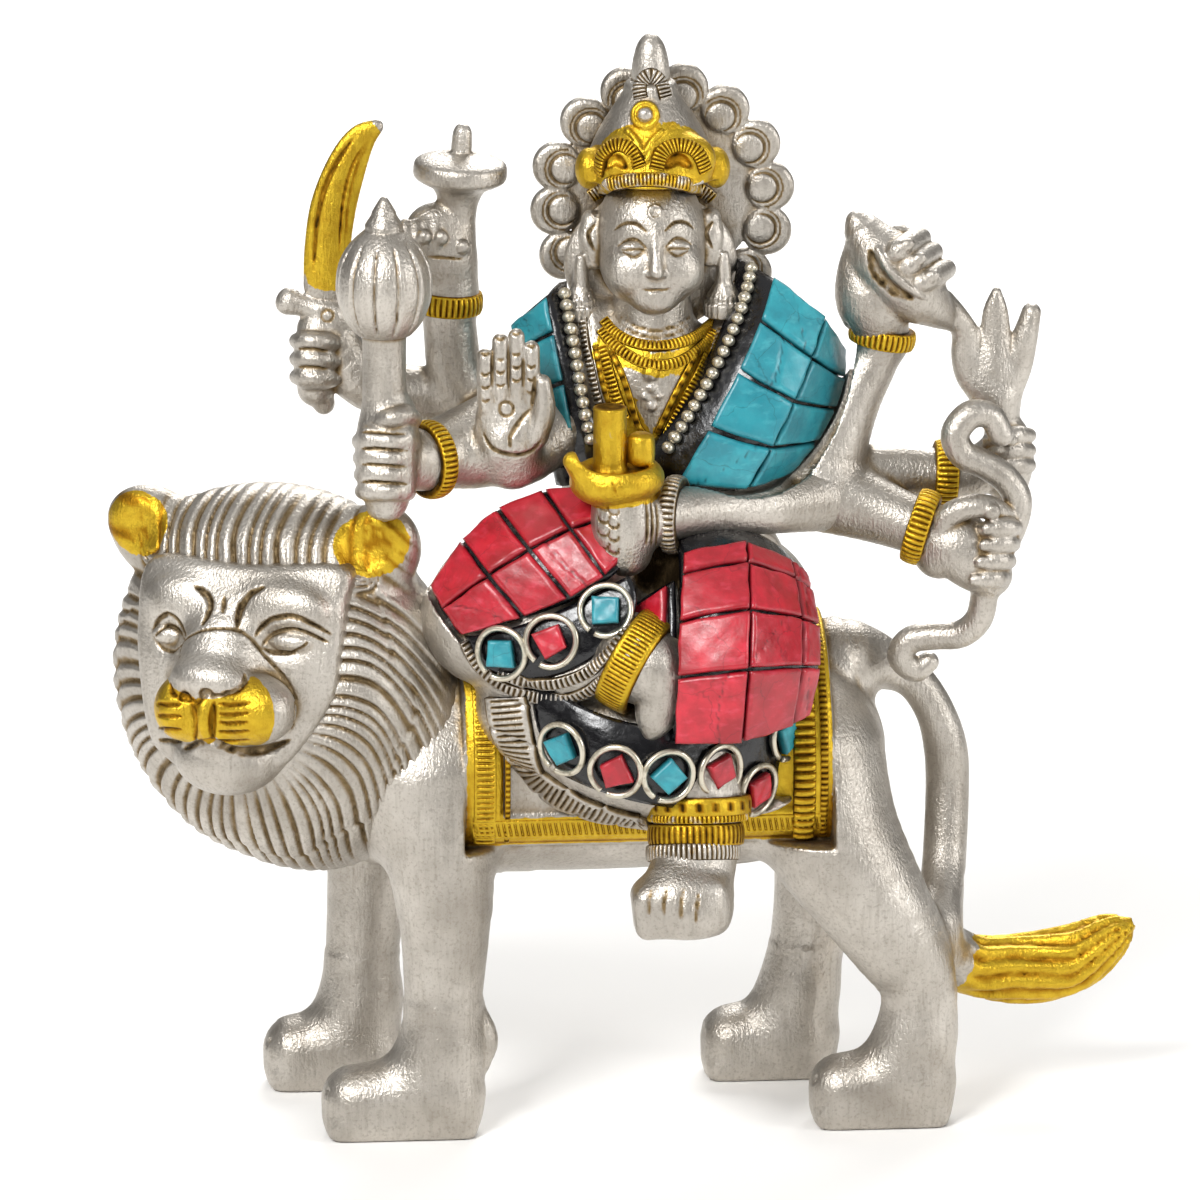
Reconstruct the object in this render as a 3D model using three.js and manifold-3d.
// A cast brass goddess with eight arms, seated on a walking lion.
// Fields of turquoise and coral tiles, ringed stones and strings of beads are
// set in black resin on her shawl and skirt.
// Millimetres, +Z up. The lion walks toward -X and the goddess faces -Y.

import {
  Box3,
  BoxGeometry,
  BufferAttribute,
  BufferGeometry,
  CatmullRomCurve3,
  Curve,
  CylinderGeometry,
  ExtrudeGeometry,
  Group,
  LatheGeometry,
  Matrix4,
  Mesh,
  MeshStandardMaterial,
  Quaternion,
  Shape,
  SphereGeometry,
  Vector2,
  Vector3,
} from 'three';
import { mergeVertices } from 'three/addons/utils/BufferGeometryUtils.js';
import Module from 'manifold-3d';

// Overall size. The pose below is written for this pattern and scaled to it.
const HEIGHT = 190;
const LENGTH = 177;
const DEPTH = 70;
const PATTERN = { height: 190, length: 177, depth: 70 };

// Inlay sizes
const CLEARANCE = 0.3;
const RESIN_THICKNESS = 1.4;
const TILE_THICKNESS = 1.5;
const TILE_GROUT = 0.7;
const WIRE_DIAMETER = 0.9;
const RING_DIAMETER = 9.4;
const RING_GAP_DEGREES = 14;
const RING_GAP_TURN = 60;
const STONE_SIDE = 3.9;
const STONE_THICKNESS = 1.4;
const BEAD_DIAMETER = 2.15;
const BEAD_OVERLAP = 0.3;
const BEAD_NECK_SHARE = 0.4;
const POCKET_EDGE_CLEARANCE = 3 * CLEARANCE;
const POCKET_FLOOR_CLEARANCE = 2 * CLEARANCE;
const POCKET_HEADROOM = 4.5;
const RING_SEAT_CLEARANCE = 4 * CLEARANCE;

// Facets
const LIMB_SIDES = 6;
const FINE_SIDES = 4;
const ROD_SIDES = 5;
const BODY_SIDES = 10;
const BALL_SIDES = 6;
const BALL_RINGS = 4;
const ROUND_CAP_SIDES = 8;
const CAP_SHARE = 0.7;
const HEM_FACETS = 4;
const LEAST_FACET = 0.02;
const RING_STEPS = 10;
const WIRE_SIDES = 4;
const BEAD_SIDES = 5;
const MERGE_DISTANCE = 1e-4;

const wasm = await Module();
wasm.setup();
const { Manifold, Mesh: SolidMesh } = wasm;

const scaleX = LENGTH / PATTERN.length;
const scaleY = DEPTH / PATTERN.depth;
const scaleZ = HEIGHT / PATTERN.height;

// A point and a form of the pattern at the part's real size.
const at = (x, y, z) => new Vector3(x * scaleX, y * scaleY, z * scaleZ);
const real = (geometry) => geometry.clone().scale(scaleX, scaleY, scaleZ);

const radians = (degrees) => (degrees * Math.PI) / 180;

// Closed geometry from points and triangles.
const closedGeometry = (points, triangles) => {
  const geometry = new BufferGeometry();
  const positions = new Float32Array(points.flatMap((p) => [p.x, p.y, p.z]));
  geometry.setAttribute('position', new BufferAttribute(positions, 3));
  geometry.setIndex(triangles);
  return geometry;
};

// A solid for joining and cutting, from any closed geometry.
const toSolid = (source) => {
  const bare = source.clone();
  bare.deleteAttribute('normal');
  bare.deleteAttribute('uv');
  const merged = mergeVertices(bare, MERGE_DISTANCE);
  const corners = [];
  for (let i = 0; i < merged.index.count; i += 3) {
    const [a, b, c] = [0, 1, 2].map((k) => merged.index.getX(i + k));
    if (a !== b && b !== c && c !== a) corners.push(a, b, c);
  }
  const mesh = new SolidMesh({
    numProp: 3,
    vertProperties: Float32Array.from(merged.attributes.position.array),
    triVerts: Uint32Array.from(corners),
  });
  return new Manifold(mesh);
};

const fromSolid = (solid) => {
  const { vertProperties, triVerts, numProp } = solid.getMesh();
  const geometry = new BufferGeometry();
  const positions = new Float32Array((vertProperties.length / numProp) * 3);
  for (let i = 0; i < positions.length / 3; i += 1) {
    for (let k = 0; k < 3; k += 1) positions[3 * i + k] = vertProperties[numProp * i + k];
  }
  geometry.setAttribute('position', new BufferAttribute(positions, 3));
  geometry.setIndex([...triVerts]);
  return geometry;
};

const joinAll = (geometries) => geometries.map(toSolid).reduce((whole, next) => whole.add(next));

// An ellipsoid with its three radii along the pattern's axes, turned about +Z.
const ball = ([x, y, z], [rx, ry, rz], turn = 0, sides = BALL_SIDES, rings = BALL_RINGS) => {
  const geometry = new SphereGeometry(1, sides, rings);
  geometry.rotateX(Math.PI / 2);
  geometry.scale(rx, ry, rz);
  geometry.rotateZ(radians(turn));
  geometry.translate(x, y, z);
  return geometry;
};

// A loft through round sections along a path, closed by a point at each end.
// Where depths are given, a section is that many times as deep from front to
// back as it is wide.
const loft = (centres, radii, sides, depths = radii.map(() => 1)) => {
  const last = centres.length - 1;
  const points = [];
  const rings = [];
  const addRing = (centre, along, radius, depth) => {
    const deep = new Vector3(0, 1, 0).addScaledVector(along, -along.y);
    if (deep.length() < MERGE_DISTANCE) deep.set(1, 0, 0).addScaledVector(along, -along.x);
    deep.normalize();
    const wide = new Vector3().crossVectors(deep, along).normalize();
    rings.push(points.length);
    for (let i = 0; i < sides; i += 1) {
      const angle = (2 * Math.PI * i) / sides;
      points.push(
        centre
          .clone()
          .addScaledVector(wide, radius * Math.cos(angle))
          .addScaledVector(deep, radius * depth * Math.sin(angle)),
      );
    }
  };
  // An end with many sides is rounded by one more ring.
  const rounded = sides >= ROUND_CAP_SIDES;
  const tips = [];
  centres.forEach((centre, i) => {
    const along = centres[Math.min(i + 1, last)].clone().sub(centres[Math.max(i - 1, 0)]).normalize();
    const cap = radii[i] * Math.min(1, depths[i]) * CAP_SHARE;
    const before = centre.clone().addScaledVector(along, -cap);
    const beyond = centre.clone().addScaledVector(along, cap);
    if (i === 0 && rounded) addRing(before, along, radii[i] * CAP_SHARE, depths[i]);
    addRing(centre, along, radii[i], depths[i]);
    if (i === last && rounded) addRing(beyond, along, radii[i] * CAP_SHARE, depths[i]);
    if (i === 0) tips.push(before);
    if (i === last) tips.push(beyond);
  });
  const triangles = [];
  for (let r = 0; r + 1 < rings.length; r += 1) {
    for (let i = 0; i < sides; i += 1) {
      const j = (i + 1) % sides;
      const [a, b] = [rings[r] + i, rings[r] + j];
      const [c, d] = [rings[r + 1] + i, rings[r + 1] + j];
      triangles.push(a, b, d, a, d, c);
    }
  }
  const start = points.length;
  const finalRing = rings[rings.length - 1];
  points.push(...tips);
  for (let i = 0; i < sides; i += 1) {
    const j = (i + 1) % sides;
    triangles.push(start, rings[0] + j, rings[0] + i);
    triangles.push(start + 1, finalRing + i, finalRing + j);
  }
  return closedGeometry(points, triangles);
};

// A loft along the pattern's stations [x, y, z, radius, depth], where a depth
// that is left out is 1.
const limb = (stations, sides = LIMB_SIDES) =>
  loft(
    stations.map(([x, y, z]) => new Vector3(x, y, z)),
    stations.map(([, , , r]) => r),
    sides,
    stations.map(([, , , , depth = 1]) => depth),
  );

// A turned form standing on [x, y, z], from [radius, height] pairs that begin
// and end on its axis.
const turned = ([x, y, z], profile, sides = LIMB_SIDES) => {
  const geometry = new LatheGeometry(
    profile.map(([r, h]) => new Vector2(r, h)),
    sides,
  );
  geometry.rotateX(Math.PI / 2);
  geometry.translate(x, y, z);
  return geometry;
};

// A flat plate in the XZ plane around [x, y, z], from [x, z] outline points.
const plate = ([x, y, z], outline, thickness) => {
  const shape = new Shape(outline.map(([px, pz]) => new Vector2(px, pz)));
  const geometry = new ExtrudeGeometry(shape, { depth: thickness, bevelEnabled: false });
  geometry.translate(0, 0, -thickness / 2);
  geometry.rotateX(Math.PI / 2);
  geometry.translate(x, y, z);
  return geometry;
};

// A bangle around a limb: a short fat barrel across the limb's direction.
const bangle = ([x, y, z], [dx, dy, dz], radius, width) => {
  const profile = [
    [0, -width / 2],
    [radius * 0.86, -width / 2],
    [radius, -width * 0.22],
    [radius, width * 0.22],
    [radius * 0.86, width / 2],
    [0, width / 2],
  ];
  const geometry = new LatheGeometry(
    profile.map(([r, h]) => new Vector2(r, h)),
    BALL_SIDES,
  );
  const direction = new Vector3(dx, dy, dz).normalize();
  geometry.applyQuaternion(new Quaternion().setFromUnitVectors(new Vector3(0, 1, 0), direction));
  geometry.translate(x, y, z);
  return geometry;
};

// A field is a curved surface through nine guide points, three rows of three.
// u runs along each row and v runs from row to row.
const quadratic = (t) => [2 * (t - 0.5) * (t - 1), -4 * t * (t - 1), 2 * t * (t - 0.5)];

class Field {
  constructor(rows) {
    this.rows = rows.map((row) => row.map(([x, y, z]) => at(x, y, z)));
  }

  point(u, v) {
    const across = quadratic(u);
    const down = quadratic(v);
    const sum = new Vector3();
    this.rows.forEach((row, j) => row.forEach((p, i) => sum.addScaledVector(p, across[i] * down[j])));
    return sum;
  }

  // Away from the casting, toward the front.
  normal(u, v) {
    const step = 0.01;
    const du = this.point(u + step, v).sub(this.point(u - step, v));
    const dv = this.point(u, v + step).sub(this.point(u, v - step));
    return new Vector3().crossVectors(dv, du).normalize();
  }

  lifted(u, v, height) {
    return this.point(u, v).addScaledVector(this.normal(u, v), height);
  }

  // A closed slab from one height above the field to another, with a facet
  // between each two stops along u and along v.
  slab(us, vs, heights) {
    const nu = us.length - 1;
    const nv = vs.length - 1;
    const index = (i, j, layer) => (layer * (nv + 1) + j) * (nu + 1) + i;
    const points = heights.flatMap((height) => vs.flatMap((v) => us.map((u) => this.lifted(u, v, height))));
    const triangles = [];
    const quad = (a, b, c, d) => triangles.push(a, b, c, a, c, d);
    for (let j = 0; j < nv; j += 1) {
      for (let i = 0; i < nu; i += 1) {
        quad(index(i, j, 1), index(i, j + 1, 1), index(i + 1, j + 1, 1), index(i + 1, j, 1));
        quad(index(i, j, 0), index(i + 1, j, 0), index(i + 1, j + 1, 0), index(i, j + 1, 0));
      }
    }
    for (let i = 0; i < nu; i += 1) {
      quad(index(i, 0, 0), index(i, 0, 1), index(i + 1, 0, 1), index(i + 1, 0, 0));
      quad(index(i + 1, nv, 0), index(i + 1, nv, 1), index(i, nv, 1), index(i, nv, 0));
    }
    for (let j = 0; j < nv; j += 1) {
      quad(index(0, j + 1, 0), index(0, j + 1, 1), index(0, j, 1), index(0, j, 0));
      quad(index(nu, j, 0), index(nu, j, 1), index(nu, j + 1, 1), index(nu, j + 1, 0));
    }
    return closedGeometry(points, triangles);
  }
}

// The fields, as they lie on the shawl and the skirt.
const fields = {
  shawl: new Field([
    [[25.2, -3, 147.5], [33, -5, 141.3], [36.9, 4, 133.1]],
    [[18.7, -14, 134.2], [27, -14, 129.2], [35.2, -1, 124.6]],
    [[7.2, -16, 115.1], [19, -16, 114.5], [26.8, -8, 115.8]],
  ]),
  shawlEnd: new Field([
    [[-18.9, 0, 140.4], [-16.5, -5, 144.2], [-14, -6, 146.6]],
    [[-16.8, -4, 132], [-14.3, -9, 134.9], [-12, -11, 136.4]],
    [[-14.4, -8, 121.4], [-12.1, -12, 123], [-9.7, -14, 124.3]],
  ]),
  lap: new Field([
    [[-34, -16, 96.9], [-23, -16, 110.9], [-7.3, -18, 114.6]],
    [[-32.8, -22, 94.5], [-17.9, -26, 105.6], [-5.2, -24, 110.3]],
    [[-30.3, -24, 91.4], [-11.6, -30, 98.6], [-2.5, -29, 105.3]],
  ]),
  knee: new Field([
    [[7.8, -28, 105.4], [19.2, -24, 105.8], [29.2, -13, 97.4]],
    [[6.9, -38, 91.3], [18.5, -39.5, 93.3], [30.6, -26, 88.1]],
    [[5.7, -38, 74.9], [17.2, -38.5, 75.2], [28.1, -29, 77]],
  ]),
  upperHem: new Field([
    [[-30.3, -24, 91.4], [-18, -29, 96], [-2.5, -30, 103.5]],
    [[-29.4, -24.6, 88.8], [-16.7, -31.4, 91], [-0.9, -32.5, 99.5]],
    [[-28, -25, 86.4], [-15.5, -32, 85.4], [-2.5, -34, 94.4]],
  ]),
  lowerHem: new Field([
    [[-18.6, -28, 80.6], [3, -37, 74.6], [26.4, -20, 76]],
    [[-17.3, -29.4, 74.4], [3.5, -37.6, 69.6], [26.6, -20, 70]],
    [[-14.6, -29.6, 68.7], [4, -36.6, 64.2], [25.6, -20, 61.5]],
  ]),
};

// The lion: a barrel of a body on four legs that stand one by one.
const lionBody = () => [
  limb([[-48, 0, 65, 16], [-38, 0, 64, 21], [-16, 0, 64.5, 21], [6, 0, 65, 19.5], [26, 0, 65, 20.5],
    [39, 0, 64.5, 18.5], [44, 0, 64, 13]], BODY_SIDES),
];

const NEAR = -16;
const FAR = 16;

const lionLegs = () => [
  limb([[-33, NEAR, 60, 9.5], [-32.5, NEAR, 44, 8], [-33.5, NEAR, 18, 6.1], [-35, NEAR, 7, 6.4]]),
  limb([[-34, NEAR, 6, 6.2], [-49, NEAR - 1, 4.8, 6]], ROUND_CAP_SIDES),
  limb([[-26.5, NEAR, 22, 1.4], [-26.5, NEAR, 12, 2]], FINE_SIDES),
  limb([[-40, FAR, 60, 9.5], [-43.5, FAR, 42, 7.2], [-44.5, FAR, 18, 5.8], [-46, FAR, 7, 6]]),
  limb([[-45, FAR, 6, 6], [-57, FAR, 4.8, 5.4]], ROUND_CAP_SIDES),
  limb([[41, NEAR, 62, 12], [44, NEAR, 48, 10.5], [49.5, NEAR, 24, 6.3], [48.5, NEAR, 10, 6.4]]),
  limb([[48, NEAR, 6.5, 6.4], [35, NEAR - 1, 4.8, 6]], ROUND_CAP_SIDES),
  limb([[34, FAR, 62, 12], [36, FAR, 46, 9], [33.5, FAR, 24, 6], [31.5, FAR, 10, 6]]),
  limb([[31, FAR, 6, 6], [19, FAR, 4.8, 5.6]], ROUND_CAP_SIDES),
];

// The head turns from the line of the walk toward the viewer.
const FACE_TURN = -26;
const HEAD = [-60, -8, 79];

// A place on the lion's head: across the face, out from it, and up.
const onHead = (across, out, up) => {
  const turn = radians(FACE_TURN);
  return [
    HEAD[0] + across * Math.cos(turn) + out * Math.sin(turn),
    HEAD[1] + across * Math.sin(turn) - out * Math.cos(turn),
    HEAD[2] + up,
  ];
};

// The mane: a rounded form whose edge swells and dips with each lock.
const MANE = { radii: [30.2, 24.2, 33.5], locks: 11, dip: 0.05, rings: 7 };

const mane = () => {
  const geometry = new SphereGeometry(1, 2 * MANE.locks, MANE.rings);
  const positions = geometry.attributes.position;
  const point = new Vector3();
  for (let i = 0; i < positions.count; i += 1) {
    point.fromBufferAttribute(positions, i);
    const side = Math.round((Math.atan2(point.z, point.x) * MANE.locks) / Math.PI);
    const swell = side % 2 === 0 ? 1 : 1 - MANE.dip;
    positions.setXYZ(i, point.x * swell, point.y, point.z * swell);
  }
  geometry.scale(...MANE.radii);
  geometry.rotateZ(radians(FACE_TURN));
  geometry.translate(...HEAD);
  return geometry;
};

const lionHead = () => [
  mane(),
  ball(onHead(0, 15, 1), [19, 11.5, 23], FACE_TURN, 12, 7),
  ball(onHead(0, 26, 6), [7.5, 7, 12], FACE_TURN),
  ball(onHead(-5.2, 27, -3), [6.6, 6, 6.6], FACE_TURN),
  ball(onHead(5.2, 27, -3), [6.6, 6, 6.6], FACE_TURN),
  ball(onHead(0, 21, -13), [10, 7, 7], FACE_TURN),
  ball(onHead(-21, -2, 25), [6.8, 4.6, 8], FACE_TURN),
  ball(onHead(21, -2, 23.5), [7.2, 4.6, 8], FACE_TURN),
];

// The tail comes off the rump, drops beside the haunch and ends in a tuft.
const lionTail = () => [
  limb([[38, 2, 75, 6], [49, 4, 78, 3.6], [55.6, 4, 73, 3.4], [57, 4, 62, 3.5], [56.5, 3, 46, 3.6],
    [54.5, 0, 36, 3.8], [51, -8, 28, 4.5]], ROD_SIDES),
  limb([[53, -6, 31, 4.4], [62, 0, 22, 5.6], [73, 0, 22, 6], [82, 0, 26, 4.4], [88.5, 0, 29.5, 1.2]],
    ROD_SIDES),
];

// The blanket hangs over the back, with a raised border all round.
const BLANKET = { left: -26.5, right: 33.5, low: 54.5, axis: 65, radius: 22.6, border: 0.8, borderWidth: 5 };

const blanket = () => {
  const { left, right, low, axis, radius, border, borderWidth } = BLANKET;
  const drum = (r) => toSolid(real(limb([[left, 0, axis, r], [right, 0, axis, r]], BODY_SIDES)));
  const block = (x0, x1, z0) => {
    const geometry = new BoxGeometry(x1 - x0, 4 * radius, 2 * radius);
    geometry.translate((x0 + x1) / 2, 0, z0 + radius);
    return toSolid(real(geometry));
  };
  const whole = block(left, right, low);
  const inside = block(left + borderWidth, right - borderWidth, low + borderWidth);
  return drum(radius).intersect(whole).add(drum(radius + border).intersect(whole.subtract(inside)));
};

// The goddess sits sideways, one leg folded and the other hanging.
const goddessBody = () => [
  ball([6, -1, 110], [17, 12.5, 31], 0, 10, 7),
  ball([23.5, -1, 127], [12.5, 11, 17.5], 0, 9, 6),
  ball([-7.5, -1, 131], [10.5, 9.5, 15], 0, 9, 6),
  limb([[5, -2, 134, 9], [4.5, -4, 147, 5.8]]),
  ball([5, -3, 92], [27, 22, 14], 0, 10, 6),
];

const goddessLegs = () => [
  limb([[8, -9, 102, 12], [-8, -16, 103, 11], [-22, -18, 99, 10], [-29, -17, 93, 8]], 8),
  limb([[-26, -18, 90, 9], [-12, -24, 87, 9], [0, -31, 88.5, 5.6]]),
  limb([[1, -33, 90, 4.6], [5, -36, 79, 2.8]], ROD_SIDES),
  limb([[15, -10, 98, 12], [16.4, -25, 94.4, 11.6], [17, -27, 86, 12], [16, -27.5, 72, 11]], 8),
  limb([[-18, -20, 76, 10.5], [-4, -23, 71, 11.5], [20, -21, 69, 11.5]], 8),
  limb([[11, -27, 70, 8], [9.5, -30, 52, 5.4]]),
  limb([[9, -31, 50, 5], [7.2, -37, 43.5, 4.6]]),
];

const goddessHead = () => [
  ball([4.3, -2, 155.5], [9.6, 10.2, 12.2], 0, 10, 7),
  ball([4.2, -11.4, 154], [1.7, 2.4, 2.6], 0, FINE_SIDES, 4),
  ball([-5.6, -2, 155.5], [2.8, 2.6, 4.6]),
  ball([14.4, -2, 155.5], [2.8, 2.6, 4.6]),
  turned([-7, -2, 141.5], [[0, 0], [2.9, 0], [2.9, 2.8], [1.6, 9], [2, 14.5], [0, 16]], ROD_SIDES),
  turned([16.2, -2, 141.5], [[0, 0], [3.1, 0], [3.1, 2.8], [1.6, 9], [2, 14.5], [0, 16]], ROD_SIDES),
];

const CROWN_FOOT = [4.3, -1.5, 161.4];

const crown = () => [
  turned(CROWN_FOOT, [[0, 0], [12.4, 0], [12.8, 2.4], [11.4, 4], [10.4, 8.6], [5.6, 17.6], [4, 22.1],
    [2, 23.1], [3.1, 24.6], [2.4, 27.2], [0, 28.6]], 9),
  ball([-1.4, -10.2, 168.4], [4.4, 2.4, 4.4], 0, 6, 4),
  ball([9.4, -10, 168.2], [5, 2.4, 4.8], 0, 6, 4),
];

const HALO = {
  centre: [7, 7, 162.6],
  radius: 17.6,
  lobe: 4.4,
  count: 13,
  from: -58,
  to: 238,
  thickness: 3.4,
};

// A scalloped plate behind the head, with one round petal for each step.
const halo = () => {
  const { centre, radius, lobe, count, from, to, thickness } = HALO;
  const outline = [];
  const arcSteps = 3;
  const arcReach = 78;
  for (let i = 0; i < count; i += 1) {
    const angle = from + ((to - from) * i) / (count - 1);
    for (let k = 0; k <= arcSteps; k += 1) {
      const spread = angle + arcReach * ((2 * k) / arcSteps - 1);
      outline.push([
        radius * Math.cos(radians(angle)) + lobe * Math.cos(radians(spread)),
        radius * Math.sin(radians(angle)) + lobe * Math.sin(radians(spread)),
      ]);
    }
  }
  return [plate(centre, outline, thickness)];
};

// The arm that holds the mace upright, with the mace.
const maceArm = () => [
  limb([[-9, -1, 130, 8], [-19, -6, 121.5, 6.2], [-36, -19, 121, 4.2], [-42, -22, 123, 4.4]]),
  bangle([-35.2, -18.6, 121], [-1, -0.6, 0], 5.6, 3),
  limb([[-43, -22.5, 116.5, 4.2], [-43.2, -23, 122, 5.2], [-43, -22.5, 129, 4.6]]),
  turned([-43.4, -22.5, 111.5], [[0, 0], [2.4, 1.6], [3.6, 4.6], [3.6, 31.6], [7.6, 36.6], [8.3, 41.4],
    [4.4, 49.6], [3.6, 53.4], [0, 57]], 9),
];

// The hand raised with its palm to the viewer.
const blessingArm = () => [
  limb([[-12, -9, 124, 6], [-18, -15, 117.5, 5.4], [-20.8, -18.5, 121, 4.8], [-21, -19.5, 127, 6, 0.55],
    [-20.6, -20, 141, 5.4, 0.36], [-20, -20, 144.8, 2.6, 0.5]]),
];

// The hand that holds up a small parasol by its stem.
const parasolArm = () => [
  limb([[-14, 0, 129, 7], [-24, 0, 126.5, 5.4], [-29.4, 0, 132, 4.8], [-30.6, 0, 146, 4.6],
    [-31.5, 0, 152, 5.6, 0.8], [-29.4, 0, 161, 3.6]]),
  bangle([-30.4, 0, 144.4], [0, 0, 1], 5.2, 4.4),
  turned([-29, 0, 158.5], [[0, 0], [3.4, 0], [3.2, 4.4], [7.9, 8.2], [6.8, 11.2], [1.9, 12], [1.5, 15.2],
    [0, 15.8]], 8),
];

// The arm that holds the sword, with the sword.
const swordArm = () => [
  limb([[-27, 2, 127, 5], [-38, 3, 127.5, 4.8], [-46, 2, 131, 4.6], [-51, 1, 141, 3.8, 0.7]]),
  limb([[-54, 1, 130, 3.6], [-54, 1, 139, 3.6]], FINE_SIDES),
  limb([[-59.4, 2, 145.6, 1.9], [-50, 2, 144, 2.6]], FINE_SIDES),
  limb([[-52, 2, 126.6, 1.9], [-53, 2, 131, 2]], FINE_SIDES),
  limb([[-54, 2, 145, 3.6, 0.42], [-53.6, 2, 153, 3.8, 0.36], [-51, 2, 163, 3.4, 0.34],
    [-46, 2, 173, 2.2, 0.4], [-42.2, 2, 176.4, 1, 0.6]], FINE_SIDES),
];

// The arm that lifts a conch shell by its lip.
const conchArm = () => [
  limb([[27, -2, 126, 8], [34, -3, 112, 7.6], [39, -4, 110.5, 6.4]], 8),
  limb([[34, -3, 111, 6.4], [38.6, -2, 118, 5.4], [44.4, -2, 135, 4], [45, -2.5, 145, 5.4, 0.8],
    [51, -2, 150.5, 3.4, 0.8]]),
  bangle([44.2, -2, 136.6], [0.2, 0, 1], 5.1, 3.4),
  limb([[52.6, -3, 145.4, 1.6], [45, -5, 148, 4.4, 0.8], [37.8, -2.4, 160.4, 1.6]], ROD_SIDES),
];

// The arm that holds the trident, with the trident and its brace to the conch.
const tridentArm = () => [
  limb([[38, -1, 112, 5], [47, 0, 112.4, 4.6], [56, 0, 111.4, 4.4], [66, -1, 115, 4.4]]),
  bangle([55.6, 0, 111.8], [1, 0, -0.05], 5.3, 3.6),
  limb([[52, -2, 147, 1.8], [58, -1, 139, 1.9], [60.6, -1, 130.6, 2.8, 0.7], [65, -1, 124, 3]], ROD_SIDES),
  limb([[64, -1, 129, 3.6, 0.7], [64.1, -1, 144.4, 1.2]], FINE_SIDES),
  limb([[65.4, -1, 128, 2.6], [70.8, -1, 140.8, 1.8]], FINE_SIDES),
  limb([[65, -1, 126, 2.9], [66.4, -1, 110, 2.4]], ROD_SIDES),
];

// The arm that holds the bow, with the bow's two curled ends.
const bowArm = () => [
  limb([[36, -5, 109, 6], [51, -10, 104.8, 4.8], [57, -12, 102.6, 5.8], [63, -12.6, 101, 5.2]]),
  bangle([49.8, -10, 105], [1, -0.25, -0.3], 5.9, 3.6),
  limb([[63.6, -12, 121.4, 1.9], [60, -12, 126, 2.2], [56, -12, 122, 2.3], [60, -12, 117, 2.3],
    [66.6, -12, 111, 2.3], [65, -12, 102, 2.3], [62, -11.5, 91.6, 2.3], [58, -10, 86.4, 2.2],
    [48.6, -6.5, 84.6, 2.3], [46.4, -5.6, 80.6, 2.3], [49.6, -6.4, 78.4, 2]], FINE_SIDES),
];

// The arm across the lap, with the bowl and the cup that stands in it.
const bowlArm = () => [
  limb([[33, -6, 109.5, 6], [22, -16, 110.5, 4.8], [6, -23, 111.6, 4.8], [-1.6, -25, 110.6, 5.4]]),
  bangle([6.4, -22.8, 111.5], [1, -0.35, 0], 6.6, 3.4),
  limb([[-2.2, -26, 106.4, 5], [-2, -26, 116, 5.4]]),
  turned([-2.4, -25, 113.4], [[0, 0], [6.6, 3], [8, 6.4], [3.2, 6.2], [3.2, 12.6], [0, 12.8]], 8),
];

// How far each bed of resin runs past its field, and how the field is tiled.
const INLAYS = {
  shawl: { u: [-0.27, 1.02], v: [-0.02, 1.02], columns: [0, 0.5, 1], rows: [0, 0.25, 0.5, 0.76, 1] },
  shawlEnd: { u: [0, 1.75], v: [0, 1.3], columns: [0.04, 1], rows: [0.02, 0.3, 0.66, 1] },
  lap: { u: [-0.02, 1.02], v: [-0.02, 1], columns: [0, 0.26, 0.5, 0.76, 1], rows: [0, 0.46, 0.97] },
  knee: { u: [-0.04, 1.03], v: [-0.1, 0.99], columns: [0, 0.45, 0.84, 1], rows: [0, 0.12, 0.36, 0.64, 0.98] },
  wedge: { u: [-0.38, -0.08], v: [0.1, 0.44], columns: [-0.36, -0.1], rows: [0.12, 0.42] },
  upperHem: { u: [0.02, 1], v: [0.08, 1] },
  lowerHem: { u: [0, 1.1], v: [0.02, 1.1] },
};

// The ringed stones. Each row starts at a place u on its hem and at the hem's
// upper edge v. A ring lies so many ring pitches along and down from there, and
// its stone is turned about the hem's normal.
const RING_ROWS = {
  upperHem: { u: 0.55, v: 0.04, gap: 0.5 },
  lowerHem: { u: 0.51, v: 0.02, gap: 1.5 },
};
const RINGS = [
  { field: 'upperHem', along: -1, down: 0.52, turn: 4, stone: 'turquoise' },
  { field: 'upperHem', along: 0, down: 0.5, turn: 28, stone: 'coral' },
  { field: 'upperHem', along: 1, down: 0.43, turn: 2, stone: 'turquoise' },
  { field: 'lowerHem', along: -2, down: 0.44, turn: 26, stone: 'turquoise' },
  { field: 'lowerHem', along: -1, down: 0.52, turn: 20, stone: 'coral' },
  { field: 'lowerHem', along: 0, down: 0.5, turn: 40, stone: 'turquoise' },
  { field: 'lowerHem', along: 1, down: 0.5, turn: 20, stone: 'coral' },
  { field: 'lowerHem', along: 2.3, down: 0.34, turn: 24, stone: 'turquoise' },
  { field: 'lowerHem', along: 1.8, down: 0.87, turn: 16, stone: 'coral' },
];

// The two strings of beads lie on the resin beside the shawl's tiles.
const BEAD_STRINGS = {
  bead_string_left: { field: 'shawlEnd', u: 1.36, v: [0.02, 1.12] },
  bead_string_right: { field: 'shawl', u: -0.15, v: [0, 0.9] },
};

// The wedge beside the knee continues the knee's own surface.
fields.wedge = fields.knee;

// A field's length along its middle row and down its middle column.
const SPAN_STEPS = 8;
const span = (pointAt) => {
  const points = Array.from({ length: SPAN_STEPS + 1 }, (_, i) => pointAt(i / SPAN_STEPS));
  return points.slice(1).reduce((sum, point, i) => sum + point.distanceTo(points[i]), 0);
};
const spanU = (field) => span((u) => field.point(u, 0.5));
const spanV = (field) => span((v) => field.point(0.5, v));

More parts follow.
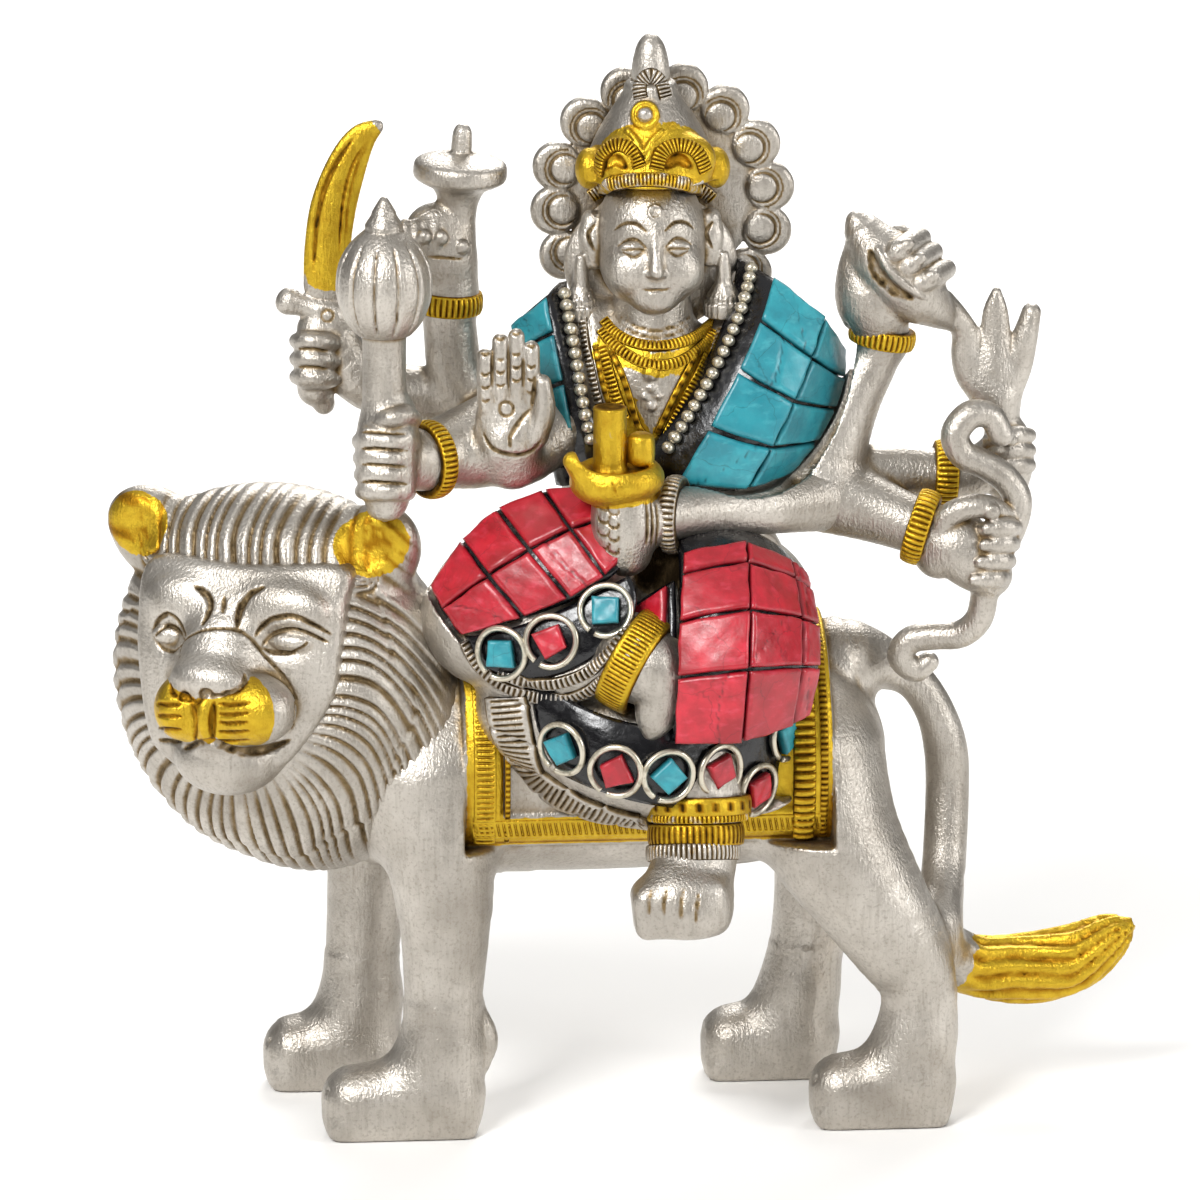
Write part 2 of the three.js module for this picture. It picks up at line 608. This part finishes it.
// A bed's facets meet where its tiles do, so that each tile lies flat on one.
const stops = ([from, to], joints) => {
  const even = Array.from({ length: HEM_FACETS - 1 }, (_, i) => from + ((to - from) * (i + 1)) / HEM_FACETS);
  const inner = (joints ?? even).filter((stop) => stop > from + LEAST_FACET && stop < to - LEAST_FACET);
  return [from, ...inner, to];
};

// The room that a bed and what lies on it take in the casting.
const pocket = (name) => {
  const field = fields[name];
  const { u, v, columns, rows } = INLAYS[name];
  const widened = (inner, margin) => [inner[0] - margin, ...inner, inner[inner.length - 1] + margin];
  const us = widened(stops(u, columns), POCKET_EDGE_CLEARANCE / spanU(field));
  const vs = widened(stops(v, rows), POCKET_EDGE_CLEARANCE / spanV(field));
  return toSolid(field.slab(us, vs, [-RESIN_THICKNESS - POCKET_FLOOR_CLEARANCE, POCKET_HEADROOM]));
};

const bed = (name) => {
  const { u, v, columns, rows } = INLAYS[name];
  return fields[name].slab(stops(u, columns), stops(v, rows), [-RESIN_THICKNESS, 0]);
};

// One chip of stone for each cell of a field, with grout all round.
const tiles = (name) => {
  const field = fields[name];
  const { columns, rows } = INLAYS[name];
  const du = TILE_GROUT / 2 / spanU(field);
  const dv = TILE_GROUT / 2 / spanV(field);
  const depths = [CLEARANCE, CLEARANCE + TILE_THICKNESS];
  const cells = [];
  for (let j = 0; j + 1 < rows.length; j += 1) {
    const vs = [rows[j] + dv, rows[j + 1] - dv];
    for (let i = 0; i + 1 < columns.length; i += 1) {
      cells.push(field.slab([columns[i] + du, columns[i + 1] - du], vs, depths));
    }
  }
  return cells;
};

// Stands a form made about the origin, facing +Z, in a ring's place on its hem
// at some height.
const standOn = (geometry, { field, along, down }, turn, height) => {
  const row = RING_ROWS[field];
  const pitch = RING_DIAMETER + row.gap;
  const u = row.u + (along * pitch) / spanU(fields[field]);
  const v = row.v + (down * pitch) / spanV(fields[field]);
  const normal = fields[field].normal(u, v);
  const place = fields[field].lifted(u, v, height);
  const slope = new Vector3(0, 0, -1).addScaledVector(normal, normal.z).normalize();
  const across = new Vector3().crossVectors(slope, normal).normalize();
  const frame = new Matrix4().makeBasis(across, new Vector3().crossVectors(normal, across), normal);
  geometry.rotateZ(radians(turn));
  geometry.applyMatrix4(frame);
  geometry.translate(place.x, place.y, place.z);
  return geometry;
};

// The open circle that a split ring of wire follows.
class SplitCircle extends Curve {
  constructor(radius, gap) {
    super();
    this.radius = radius;
    this.gap = gap;
  }

  getPoint(t) {
    const angle = this.gap / 2 + t * (2 * Math.PI - this.gap);
    return new Vector3(this.radius * Math.cos(angle), this.radius * Math.sin(angle), 0);
  }
}

const splitRing = () => {
  const section = new Shape();
  for (let i = 0; i < WIRE_SIDES; i += 1) {
    const angle = (2 * Math.PI * i) / WIRE_SIDES;
    const [x, y] = [(WIRE_DIAMETER / 2) * Math.cos(angle), (WIRE_DIAMETER / 2) * Math.sin(angle)];
    if (i === 0) section.moveTo(x, y);
    else section.lineTo(x, y);
  }
  section.closePath();
  const path = new SplitCircle((RING_DIAMETER - WIRE_DIAMETER) / 2, radians(RING_GAP_DEGREES));
  return new ExtrudeGeometry(section, { steps: RING_STEPS, extrudePath: path, bevelEnabled: false });
};

// The room that a ring takes where it runs past its bed.
const ringSeat = (ring) => {
  const radius = RING_DIAMETER / 2 + RING_SEAT_CLEARANCE;
  const disc = new CylinderGeometry(radius, radius, POCKET_HEADROOM, RING_STEPS);
  disc.rotateX(Math.PI / 2);
  return toSolid(standOn(disc, ring, 0, POCKET_HEADROOM / 2));
};

// A string of touching beads: one loft that swells at each bead and narrows
// where it meets the next.
const beadString = ({ field: name, u, v }) => {
  const field = fields[name];
  const radius = BEAD_DIAMETER / 2;
  const height = CLEARANCE + radius;
  const guideCount = 8;
  const guides = Array.from({ length: guideCount + 1 }, (_, i) =>
    field.lifted(u, v[0] + ((v[1] - v[0]) * i) / guideCount, height),
  );
  const path = new CatmullRomCurve3(guides);
  const count = Math.round(path.getLength() / (BEAD_DIAMETER - BEAD_OVERLAP));
  const centres = path.getSpacedPoints(2 * count);
  const radii = centres.map((_, i) => (i % 2 === 0 ? radius * BEAD_NECK_SHARE : radius));
  return loft(centres, radii, BEAD_SIDES);
};

// The whole casting, with its feet cut flat and its pockets cut out.
const casting = () => {
  const forms = [
    lionBody,
    lionLegs,
    lionHead,
    lionTail,
    goddessBody,
    goddessLegs,
    goddessHead,
    crown,
    halo,
    maceArm,
    blessingArm,
    parasolArm,
    swordArm,
    conchArm,
    tridentArm,
    bowArm,
    bowlArm,
  ].flatMap((make) => make());
  const ground = new BoxGeometry(2 * LENGTH, 2 * LENGTH, LENGTH);
  ground.translate(0, 0, -LENGTH / 2);
  const whole = joinAll(forms.map(real)).add(blanket()).subtract(toSolid(ground));
  const cuts = [...Object.keys(INLAYS).map(pocket), ...RINGS.map(ringSeat)];
  return cuts.reduce((rest, cut) => rest.subtract(cut), whole);
};

const silver = new MeshStandardMaterial({ color: '#b8b4b0', roughness: 0.38, metalness: 1 });
const resin = new MeshStandardMaterial({ color: '#121218', roughness: 0.25, metalness: 0 });
const stones = {
  turquoise: new MeshStandardMaterial({ color: '#2e98a4', roughness: 0.45, metalness: 0 }),
  coral: new MeshStandardMaterial({ color: '#c8283c', roughness: 0.4, metalness: 0 }),
};
const wire = new MeshStandardMaterial({ color: '#c8c4b4', roughness: 0.35, metalness: 1 });

const figure = new Group();

const add = (name, geometry, material) => {
  const mesh = new Mesh(geometry, material.clone());
  mesh.name = name;
  figure.add(mesh);
};

const numbered = (name, number) => `${name}_${String(number).padStart(2, '0')}`;

const addTiles = (name, geometries, material) => {
  geometries.forEach((geometry, i) => add(numbered(name, i + 1), geometry, material));
};

add('brass_casting', fromSolid(casting()), silver);
add('resin_shawl', bed('shawl'), resin);
add('resin_shawl_end', bed('shawlEnd'), resin);
add('resin_lap', bed('lap'), resin);
add('resin_knee', bed('knee'), resin);
add('resin_wedge', bed('wedge'), resin);
add('resin_upper_hem', bed('upperHem'), resin);
add('resin_lower_hem', bed('lowerHem'), resin);

addTiles('shawl_tile', tiles('shawl'), stones.turquoise);
addTiles('shawl_end_tile', tiles('shawlEnd'), stones.turquoise);
addTiles('lap_tile', tiles('lap'), stones.coral);
addTiles('knee_tile', [...tiles('knee'), ...tiles('wedge')], stones.coral);

RINGS.forEach((ring, i) => {
  const wireHeight = CLEARANCE + WIRE_DIAMETER / 2;
  const circle = standOn(splitRing(), ring, RING_GAP_TURN, wireHeight);
  add(numbered('wire_ring', i + 1), circle, wire);
  const chip = new BoxGeometry(STONE_SIDE, STONE_SIDE, STONE_THICKNESS);
  const square = standOn(chip, ring, ring.turn, CLEARANCE + STONE_THICKNESS / 2);
  add(numbered('ring_stone', i + 1), square, stones[ring.stone]);
});

Object.entries(BEAD_STRINGS).forEach(([name, string]) => add(name, beadString(string), wire));

// The origin is under the middle of the whole figure, at the soles of the feet.
const bounds = new Box3().setFromObject(figure);
const middle = bounds.getCenter(new Vector3());
figure.position.set(-middle.x, -middle.y, -bounds.min.z);

export default figure;
